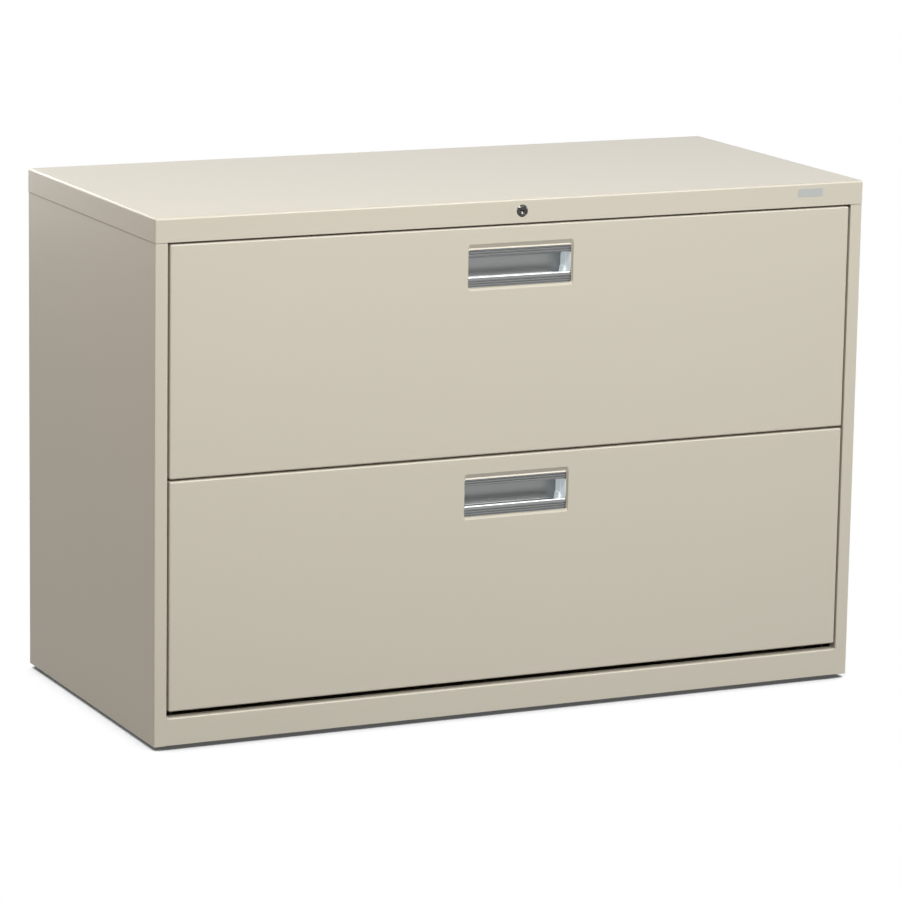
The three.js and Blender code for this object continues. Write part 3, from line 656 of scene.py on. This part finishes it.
def endCaps(level):
    s = endShape
    frontY, faceY, backY, top = pullPlaces(level)
    ceiling, grip, floorZ = top - pullShape["bandBottom"] - 0.9, top - pullShape["gripTop"], top - pullShape["floor"]
    near, line, rear = faceY + s["start"], frontY + s["line"], backY - 0.3
    fall = lambda y: ceiling - (y - near) * pullShape["ceilingFall"] / (rear - near)
    backing = prism("x", [(near, ceiling), (rear, fall(rear)), (rear, floorZ + 0.3), (frontY + 10.5, floorZ + 0.3), (near + 0.8, grip)],
                    (s["panel"], s["outer"]), {1: 5.5, 2: 4.5}, 6)
    panels = [prism("x", [(near, ceiling), (line, fall(line)), (line, grip + 4.0), (near, grip + 4.0)], (s["inner"], s["panel"] + 0.2)),
              prism("x", [(line + s["lineWide"], fall(line)), (rear, fall(rear)), (rear, floorZ + 1.0), (line + s["lineWide"], floorZ + 1.0)],
                    (s["inner"], s["panel"] + 0.2), {1: 5.5, 2: 4.5}, 6)]
    foot = box((s["inner"] - s["footIn"], line + s["lineWide"], floorZ + 0.4), (s["inner"] + 0.3, rear - 1.5, grip + s["footOver"]))
    pick("FACE", lambda place, way: way.z > 0.9)
    stretch(0.55, 1, 1, (s["inner"] + 0.3, 0, grip))
    pick("EDGE", lambda place, way: place.x < s["inner"] - 0.5)
    roundOff(0.5, 3)
    bpy.ops.object.mode_set(mode="OBJECT")
    for panel in panels:
        clearAll()
        bpy.context.view_layer.objects.active = panel
        bpy.ops.object.mode_set(mode="EDIT")
        pick("EDGE", lambda place, way: place.x < s["inner"] + 0.01)
        roundOff(0.3, 2)
        bpy.ops.object.mode_set(mode="OBJECT")
    right = join(backing, *panels, foot)
    left = twin(right, mirror=True)
    done(right, f"{level}_pull_right_end", whitePlastic, f"{level}_drawer")
    done(left, f"{level}_pull_left_end", whitePlastic, f"{level}_drawer")


for level in ("upper", "lower"):
    pull(level)
    endCaps(level)
print("pulls made")

# Lock: a turned bezel, and a plug with a dished keyway

lockShape = {"bezel": 8.5, "flat": 6.5, "barrel": 7.3, "bore": 5.95, "plug": 5.8, "dish": 4.3, "dishDeep": 1.9, "slotWide": 7.0, "slotTall": 1.5}


def lock():
    s = lockShape
    low, high = reach("lock_housing")
    centre = Vector((0, low.y, (low.z + high.z) / 2))
    deep = high.y - low.y
    rim, flat = s["bezel"], s["flat"]
    ring = turned("y", [(s["bore"], 0.9), (s["bore"] + 0.1, 0.25), (s["bore"] + 0.3, 0.06), (flat - 0.12, 0), (flat + 0.12, 0.05),
                        (rim - 0.12, 1.3), (rim, 1.5), (s["barrel"], 1.5), (s["barrel"], deep), (s["bore"], deep), (s["bore"], 0.9)], centre, 64)
    done(ring, "lock_bezel", darkChrome, "cabinet", ["lock_housing"], angle=50)
    plugLow, plugHigh = reach("lock_plug")
    centre = Vector((0, plugLow.y, centre.z))
    deep = plugHigh.y - plugLow.y
    dish, dishDeep = s["dish"], s["dishDeep"]
    plug = turned("y", [(0, dishDeep), (0.9, dishDeep), (1.2, dishDeep - 0.15), (dish - 0.1, 0.1), (dish + 0.1, 0), (s["plug"] - 0.4, 0),
                        (s["plug"] - 0.1, 0.1), (s["plug"], 0.4), (s["plug"], deep), (0, deep)], centre, 64)
    half = Vector((s["slotWide"] / 2, 0, s["slotTall"] / 2))
    slot = box(centre - half - Vector((0, 1, 0)), centre + half + Vector((0, 5, 0)))
    pick("EDGE", lambda place, way: abs(way.y) > 0.9)
    roundOff(0.5, 3)
    bpy.ops.object.mode_set(mode="OBJECT")
    cut(plug, slot)
    done(plug, "lock_plug_face", darkChrome, "lock_cylinder", ["lock_plug"], angle=50)


lock()

plateShape = {"low": (428.3, 701.9), "high": (467.4, 713.1), "thick": 0.35, "corner": 0.8}


def blankPlate():
    s = plateShape
    y = reach("top_cap")[0].y
    piece = box((s["low"][0], y - s["thick"], s["low"][1]), (s["high"][0], y + 0.1, s["high"][1]))
    pick("EDGE", lambda place, way: abs(way.y) > 0.9)
    roundOff(s["corner"], 4)
    pick("EDGE", lambda place, way: place.y < y - s["thick"] + 0.01)
    roundOff(0.15, 2)
    done(piece, "blank_plate", platePrint, "cabinet")


blankPlate()
print("lock and plate made")

# Drawer boxes

boxShape = {"sheet": 1.0, "bend": 1.8, "hem": 8.0, "hemDrop": 6.0, "foot": 14.0, "backFoot": 12.0, "rail": 8.0, "railTall": 16.0,
            "beadWide": 14.0, "beadHigh": 1.4, "beads": (-120, 0, 120), "beadEnd": 40.0}


def drawerBox(level):
    s = boxShape
    body, bend = f"{level}_drawer", s["bend"]
    low, high = reach(f"{level}_drawer_left_side")
    path = [(low.x + s["hem"], high.z - s["hemDrop"]), (low.x + s["hem"], high.z), (low.x, high.z), (low.x, low.z), (low.x + s["foot"], low.z)]
    left = strip("y", path, (low.y, high.y), s["sheet"], (-1, 0, 0), {1: bend, 2: bend, 3: bend})
    bpy.ops.object.mode_set(mode="OBJECT")
    right = twin(left, mirror=True)
    done(left, f"{level}_left_wall", paint, body, [f"{level}_drawer_left_side"])
    done(right, f"{level}_right_wall", paint, body, [f"{level}_drawer_right_side"])
    low, high = reach(f"{level}_drawer_bottom")
    floor = box(low, high)
    cuts = [((x, 0, 0), (1, 0, 0)) for x in (low.x + s["beadEnd"], high.x - s["beadEnd"])]
    cuts += [((0, y + side * s["beadWide"] / 2, 0), (0, 1, 0)) for y in s["beads"] for side in (-1, 1)]
    for place, way in cuts:
        pickAll()
        bpy.ops.mesh.bisect(plane_co=Vector(place) * mm, plane_no=way)
    pick("FACE", lambda place, way: abs(way.z) > 0.9 and abs(place.x) < high.x - s["beadEnd"] and min(abs(place.y - y) for y in s["beads"]) < 2)
    shift(0, 0, s["beadHigh"])
    pick("EDGE", lambda place, way: place.z > high.z + s["beadHigh"] - 0.1 and abs(way.x) > 0.9)
    roundOff(1.2, 3)
    done(floor, f"{level}_drawer_floor", paint, body, [f"{level}_drawer_bottom"])
    low, high = reach(f"{level}_drawer_back")
    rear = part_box(f"{level}_drawer_left_side")[1].y / mm
    web = strip("x", [(rear - s["backFoot"], low.z + 1), (rear, low.z + 1), (rear, high.z)], (low.x, high.x), s["sheet"], (0, 1, 0), {1: bend})
    bpy.ops.object.mode_set(mode="OBJECT")
    barLow, barHigh = reach("lock_bar")
    middle = (barLow.x + barHigh.x) / 2
    catch = strip("x", [(rear - 0.5, high.z), (high.y, high.z), (high.y, high.z - 17)], (middle - 30, middle + 30), s["sheet"], (0, 1, 0), {1: bend})
    bpy.ops.object.mode_set(mode="OBJECT")
    done(join(web, catch), f"{level}_drawer_rear", paint, body, [f"{level}_drawer_back"])
    for place in ("front", "rear"):
        low, high = reach(f"{level}_{place}_hangrail")
        path = [(high.y, low.z), (high.y, high.z), (low.y, high.z), (low.y, low.z)]
        rail = strip("x", path, (low.x, high.x), s["sheet"], (0, 0, 1), {1: 2.2, 2: 2.2})
        done(rail, f"{level}_{place}_file_rail", zinc, body, [f"{level}_{place}_hangrail"])


# Slides: rolled tracks with punched slots, and retainers full of balls

slideShape = {"wall": 1.4, "bend": 2.6, "slots": (-165, -60, 60, 165), "slotLong": 16.0, "slotTall": 6.5, "cageWall": 0.8, "ballRadius": 1.35,
              "balls": 14, "ballEnd": 10.0}


def oblong(x, y, z, long, tall):  # a cutter with round ends, through a track's web
    piece = box((x - 4, y - long / 2, z - tall / 2), (x + 4, y + long / 2, z + tall / 2))
    pick("EDGE", lambda place, way: abs(way.x) > 0.9)
    roundOff(tall / 2 - 0.01, 8)
    bpy.ops.object.mode_set(mode="OBJECT")
    return piece


def track(level, member, body, webLow):
    s = slideShape
    node = f"{level}_left_slide_{member}"
    low, high = reach(node)
    web, tip = (low.x, high.x) if webLow else (high.x, low.x)
    path = [(tip, high.z), (web, high.z), (web, low.z), (tip, low.z)]
    left = strip("y", path, (low.y, high.y), s["wall"], (-1 if webLow else 1, 0, 0), {1: s["bend"], 2: s["bend"]})
    bpy.ops.object.mode_set(mode="OBJECT")
    for y in s["slots"]:
        cut(left, oblong(web, y, (low.z + high.z) / 2, s["slotLong"], s["slotTall"]))
    right = twin(left, mirror=True)
    for side, piece in (("left", left), ("right", right)):
        node = f"{level}_{side}_slide_{member}"
        done(piece, f"{level}_{side}_{member}_track", zinc, body, [node])


def retainer(level, ring, body):
    s = slideShape
    low, high = reach(f"{level}_left_{ring}_cage")
    wall = s["cageWall"]
    middle = (low.z + high.z) / 2
    row = middle + (high.z - low.z) / 2 - s["ballRadius"] + 0.04
    edge = row + wall / 2
    path = [(high.x, edge), (low.x, edge), (low.x, 2 * middle - edge), (high.x, 2 * middle - edge)]
    left = strip("y", path, (low.y, high.y), wall, (-1, 0, 0), {1: 1.2, 2: 1.2})
    bpy.ops.object.mode_set(mode="OBJECT")
    first = low.y + s["ballEnd"]
    pitch = (high.y - low.y - 2 * s["ballEnd"]) / (s["balls"] - 1)
    clearAll()
    bpy.ops.mesh.primitive_ico_sphere_add(subdivisions=2, radius=s["ballRadius"] * mm, location=Vector(((low.x + high.x) / 2, first, row)) * mm)
    editNew()
    bpy.ops.object.mode_set(mode="OBJECT")
    ball = bpy.context.object
    balls = [twin(ball, 0, i * pitch, across) for i in range(s["balls"]) for across in (0, 2 * (middle - row)) if i or across]
    left = join(left, ball, *balls)
    right = twin(left, mirror=True)
    for side, piece in (("left", left), ("right", right)):
        node = f"{level}_{side}_{ring}_cage"
        done(piece, f"{level}_{side}_{ring}_balls", yellowZinc, body, [node])


frame["slotOf"] = {row["node"]: row["material_slot"] for row in frame["record"]["subparts"]}
for level in ("upper", "lower"):
    drawerBox(level)
    track(level, "outer", "cabinet", True)
    track(level, "intermediate", f"{level}_slide_middles", True)
    track(level, "inner", f"{level}_drawer", False)
    retainer(level, "outer", f"{level}_outer_cages")
    retainer(level, "inner", f"{level}_inner_cages")
print("drawer boxes and slides made")

# Feet: a moulded pad on a threaded stem

footShape = {"pad": [(0, 0.4), (9.5, 0.4), (10.5, 0), (12.6, 0), (13.6, 0.5), (14, 1.5), (13.8, 2.6), (12.4, 3.8), (8.5, 4.6), (6.6, 6), (0, 6)],
             "stem": 4.0, "thread": 0.45, "pitch": 1.5}


def feet():
    s = footShape
    for place in ("front_left", "front_right", "rear_left", "rear_right"):
        low, high = reach(f"glide_{place}")
        centre = ((low.x + high.x) / 2, (low.y + high.y) / 2, low.z)
        pad = turned("z", s["pad"], centre, 48)
        done(pad, f"foot_pad_{place}", blackPlastic, f"foot_{place}", [f"glide_{place}"], angle=40)
        turns = int((high.z - low.z - 8) / s["pitch"])
        profile = [(0, 5.5), (s["stem"] - s["thread"], 5.5)]
        for i in range(turns):
            z = 7 + i * s["pitch"]
            profile += [(s["stem"] - s["thread"], z), (s["stem"], z + s["pitch"] / 2)]
        profile += [(s["stem"] - s["thread"], 7 + turns * s["pitch"]), (s["stem"] - 1, high.z), (0, high.z)]
        stem = turned("z", profile, centre, 24)
        done(stem, f"foot_stem_{place}", zinc, f"foot_{place}")


feet()
print("feet made")

# Inner pieces keep their CAD shape and take a finish by slot

slotFinish = {"paint": paint, "zinc_plate": zinc, "aluminium": aluminium, "dark_chrome": darkChrome, "bright_steel": brightSteel,
              "raw_iron": iron, "black_plastic": blackPlastic, "yellow_zinc": yellowZinc}
for row in frame["record"]["subparts"]:
    node = frame["nodes"][row["node"]]
    for holder in node.material_slots:
        holder.material = slotFinish[row["material_slot"]]

# Camera, floor and light

camera = {"place": (-2627.1, -5573.6, 1609.3), "yaw": 25.343, "pitch": 11.766, "roll": 0.956, "focalPixels": 4431.2, "frame": 900}


def setCamera():
    c = camera
    yaw, pitch, roll = (radians(c[name]) for name in ("yaw", "pitch", "roll"))
    ahead = Vector((sin(yaw) * cos(pitch), cos(yaw) * cos(pitch), -sin(pitch)))
    right = Vector((cos(yaw), -sin(yaw), 0))
    up = right.cross(ahead)
    right, up = right * cos(roll) + up * sin(roll), up * cos(roll) - right * sin(roll)
    clearAll()
    bpy.ops.object.camera_add(location=Vector(c["place"]) * mm, rotation=Matrix((right, up, -ahead)).transposed().to_euler())
    eye = bpy.context.object
    eye.data.sensor_width = 36
    eye.data.lens = c["focalPixels"] / c["frame"] * 36
    eye.data.clip_end = 100
    bpy.context.scene.camera = eye


studio = {"ambient": 0.08, "floor": 0.12,
          "card": {"place": (1700, -2500, 2900), "aim": (0, -240, 500), "wide": 2600, "tall": 1000, "power": 60}, "lamps": {
    "overhead_light": {"place": (-900, 250, 2300), "aim": (-600, 0, 700), "size": 1200, "power": 8, "colour": (1, 1, 1)},
    "front_light": {"place": (700, -3700, 2100), "aim": (-150, -240, 300), "size": 1500, "power": 92, "colour": (1, 1, 1)},
    "high_left_light": {"place": (-1000, -2300, 3100), "aim": (0, -240, 560), "size": 1200, "power": 55, "colour": (1, 1, 0.97)},
    "high_right_light": {"place": (1700, -2300, 3000), "aim": (0, -240, 560), "size": 1200, "power": 16, "colour": (1, 1, 0.97)},
    "left_light": {"place": (-2800, -300, 1700), "aim": (-530, 0, 450), "size": 1600, "power": 15, "colour": (1, 0.78, 0.5)},
    "right_light": {"place": (5200, 300, 1100), "aim": (533, 0, 380), "size": 2600, "power": 130, "colour": (1, 1, 1)},
    "back_light": {"place": (-600, 4800, 1200), "aim": (0, 244, 380), "size": 2600, "power": 130, "colour": (1, 1, 1)}}}


def seen(f):  # 1 for rays that should meet plain white
    path = f.add("ShaderNodeLightPath")
    outs = {out.name: Wire(f, out) for out in path.socket.node.outputs}
    most = outs["Is Camera Ray"].maths("MAXIMUM", outs["Is Camera Ray"], outs["Is Glossy Ray"])
    return most.maths("MAXIMUM", most, outs["Is Transmission Ray"])


def setStudio():
    world = bpy.data.worlds.new("studio")
    bpy.context.scene.world = world
    f = Finish(world)
    soft = f.add("ShaderNodeBackground", {}, {"Color": rgb((1, 1, 1)), "Strength": studio["ambient"]})
    white = f.add("ShaderNodeBackground", {}, {"Color": rgb((1, 1, 1)), "Strength": 1.0})
    f.surface(f.add("ShaderNodeMixShader", {}, {0: seen(f), 1: soft, 2: white}))
    clearAll()
    bpy.ops.mesh.primitive_plane_add(size=60)
    floor = bpy.context.object
    floor.name = "floor"
    f = newFinish("pale_floor")
    grey = f.add("ShaderNodeBsdfDiffuse", {}, {"Color": rgb((studio["floor"],) * 3)})
    # painted shadow: the floor's white emission is darkened by nearness to the object (ambient occlusion), drawn in
    # place of the lamps' own shadows
    near = f.add("ShaderNodeAmbientOcclusion", {"samples": 12}, {"Distance": 0.06}, out="AO")
    paintedShadow = f.add("ShaderNodeMapRange", {"interpolation_type": "SMOOTHSTEP"}, {"Value": near, "From Min": 0.34, "From Max": 0.60,
                                                                              "To Min": 0.09, "To Max": 1.0})
    white = f.add("ShaderNodeEmission", {}, {"Color": paintedShadow, "Strength": 1.0})
    floor.data.materials.append(f.surface(f.add("ShaderNodeMixShader", {}, {0: seen(f), 1: grey, 2: white})))
    for name, lamp in studio["lamps"].items():
        place = Vector(lamp["place"])
        turn = (Vector(lamp["aim"]) - place).to_track_quat("-Z", "Y").to_euler()
        bpy.ops.object.light_add(type="AREA", location=place * mm, rotation=turn)
        light = bpy.context.object
        light.name = name
        light.data.size = lamp["size"] * mm
        light.data.energy = lamp["power"]
        light.data.color = lamp["colour"]
    # a long card that only shows as a bright line along the rounded edges
    card = studio["card"]
    place = Vector(card["place"])
    turn = (Vector(card["aim"]) - place).to_track_quat("-Z", "Y").to_euler()
    bpy.ops.object.light_add(type="AREA", location=place * mm, rotation=turn)
    light = bpy.context.object
    light.name = "edge_card"
    light.data.shape = "RECTANGLE"
    light.data.size, light.data.size_y = card["wide"] * mm, card["tall"] * mm
    light.data.energy = card["power"]
    light.visible_diffuse = False
    bpy.context.scene.view_settings.view_transform = "Standard"


setCamera()
setStudio()
print("camera, floor and light set")
